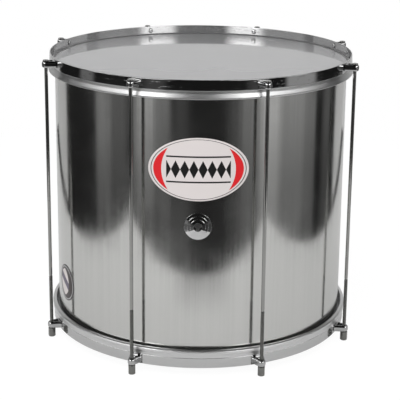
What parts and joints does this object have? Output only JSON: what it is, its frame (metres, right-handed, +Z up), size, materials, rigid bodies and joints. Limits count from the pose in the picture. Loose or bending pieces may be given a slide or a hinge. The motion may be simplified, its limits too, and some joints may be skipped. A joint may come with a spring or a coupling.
{
  "type": "bass drum",
  "caption": "Large cylindrical bass drum: polished metal shell, film heads, flat counter hoops, riveted strap lugs, long tension rods, hexagon tuning nuts and a vent grommet.",
  "frame": {"origin": "on the drum's axis, level with the lower faces of the tuning nuts that it stands on", "axes": "+Z up along the drum's axis, -Y out through the vent at the front, +X to the right seen from the front"},
  "size_m": [0.531, 0.531, 0.4955],
  "materials": {
    "shell_aluminium": "polished, with a fine upright grain",
    "hoop_steel": "chrome plated steel band, lightly worn",
    "lug_steel": "chrome plated strap",
    "rivet_steel": "plated rivet",
    "rod_steel": "plated steel rod, threaded at its lower end",
    "nut_steel": "plated hexagon nut",
    "head_film": "milky plastic film, glossy",
    "flesh_hoop_alloy": "bright drawn aluminium",
    "vent_chrome": "mirror chrome",
    "lock_ring_steel": "plain stamped ring",
    "badge_face": "glossy white sticker with a red border",
    "label_face": "glossy pale sticker"
  },
  "bodies": {
    "drum_body": {"shell": "shell_aluminium", "top_head": "head_film", "top_flesh_hoop": "flesh_hoop_alloy", "bottom_head": "head_film", "bottom_flesh_hoop": "flesh_hoop_alloy", "bottom_counter_hoop": "hoop_steel", "vent_grommet": "vent_chrome", "vent_lock_ring": "lock_ring_steel", "front_badge": "badge_face", "side_label": "label_face", "bottom_lug_1": "lug_steel", "bottom_lug_2": "lug_steel", "bottom_lug_3": "lug_steel", "bottom_lug_4": "lug_steel", "bottom_lug_5": "lug_steel", "bottom_lug_6": "lug_steel", "bottom_lug_7": "lug_steel", "bottom_lug_8": "lug_steel", "bottom_rivet_1": "rivet_steel", "bottom_rivet_2": "rivet_steel", "bottom_rivet_3": "rivet_steel", "bottom_rivet_4": "rivet_steel", "bottom_rivet_5": "rivet_steel", "bottom_rivet_6": "rivet_steel", "bottom_rivet_7": "rivet_steel", "bottom_rivet_8": "rivet_steel"},
    "top_hoop_assembly": {"top_counter_hoop": "hoop_steel", "top_lug_1": "lug_steel", "top_lug_2": "lug_steel", "top_lug_3": "lug_steel", "top_lug_4": "lug_steel", "top_lug_5": "lug_steel", "top_lug_6": "lug_steel", "top_lug_7": "lug_steel", "top_lug_8": "lug_steel", "top_rivet_1": "rivet_steel", "top_rivet_2": "rivet_steel", "top_rivet_3": "rivet_steel", "top_rivet_4": "rivet_steel", "top_rivet_5": "rivet_steel", "top_rivet_6": "rivet_steel", "top_rivet_7": "rivet_steel", "top_rivet_8": "rivet_steel", "tension_rod_1": "rod_steel", "tension_rod_2": "rod_steel", "tension_rod_3": "rod_steel", "tension_rod_4": "rod_steel", "tension_rod_5": "rod_steel", "tension_rod_6": "rod_steel", "tension_rod_7": "rod_steel", "tension_rod_8": "rod_steel"},
    "nut_1": {"tuning_nut_1": "nut_steel"},
    "nut_2": {"tuning_nut_2": "nut_steel"},
    "nut_3": {"tuning_nut_3": "nut_steel"},
    "nut_4": {"tuning_nut_4": "nut_steel"},
    "nut_5": {"tuning_nut_5": "nut_steel"},
    "nut_6": {"tuning_nut_6": "nut_steel"},
    "nut_7": {"tuning_nut_7": "nut_steel"},
    "nut_8": {"tuning_nut_8": "nut_steel"}
  },
  "joints": [
    {"name": "hoop_lift", "type": "slide", "parent": "drum_body", "child": "top_hoop_assembly", "axis": [0, 0, 1], "range_m": [0, 0.01]},
    {"name": "nut_1_turn", "type": "hinge", "parent": "drum_body", "child": "nut_1", "pos_m": [0.10658, -0.2573, 0.008], "axis": [0, 0, -1], "range_deg": [0, 2880]},
    {"name": "nut_2_turn", "type": "hinge", "parent": "drum_body", "child": "nut_2", "pos_m": [0.2573, -0.10658, 0.008], "axis": [0, 0, -1], "range_deg": [0, 2880]},
    {"name": "nut_3_turn", "type": "hinge", "parent": "drum_body", "child": "nut_3", "pos_m": [0.2573, 0.10658, 0.008], "axis": [0, 0, -1], "range_deg": [0, 2880]},
    {"name": "nut_4_turn", "type": "hinge", "parent": "drum_body", "child": "nut_4", "pos_m": [0.10658, 0.2573, 0.008], "axis": [0, 0, -1], "range_deg": [0, 2880]},
    {"name": "nut_5_turn", "type": "hinge", "parent": "drum_body", "child": "nut_5", "pos_m": [-0.10658, 0.2573, 0.008], "axis": [0, 0, -1], "range_deg": [0, 2880]},
    {"name": "nut_6_turn", "type": "hinge", "parent": "drum_body", "child": "nut_6", "pos_m": [-0.2573, 0.10658, 0.008], "axis": [0, 0, -1], "range_deg": [0, 2880]},
    {"name": "nut_7_turn", "type": "hinge", "parent": "drum_body", "child": "nut_7", "pos_m": [-0.2573, -0.10658, 0.008], "axis": [0, 0, -1], "range_deg": [0, 2880]},
    {"name": "nut_8_turn", "type": "hinge", "parent": "drum_body", "child": "nut_8", "pos_m": [-0.10658, -0.2573, 0.008], "axis": [0, 0, -1], "range_deg": [0, 2880]}
  ],
  "couplings": [
    {"joint": "nut_1_turn", "follows": "hoop_lift", "rad_per_m": 4947.4},
    {"joint": "nut_2_turn", "follows": "hoop_lift", "rad_per_m": 4947.4},
    {"joint": "nut_3_turn", "follows": "hoop_lift", "rad_per_m": 4947.4},
    {"joint": "nut_4_turn", "follows": "hoop_lift", "rad_per_m": 4947.4},
    {"joint": "nut_5_turn", "follows": "hoop_lift", "rad_per_m": 4947.4},
    {"joint": "nut_6_turn", "follows": "hoop_lift", "rad_per_m": 4947.4},
    {"joint": "nut_7_turn", "follows": "hoop_lift", "rad_per_m": 4947.4},
    {"joint": "nut_8_turn", "follows": "hoop_lift", "rad_per_m": 4947.4}
  ]
}
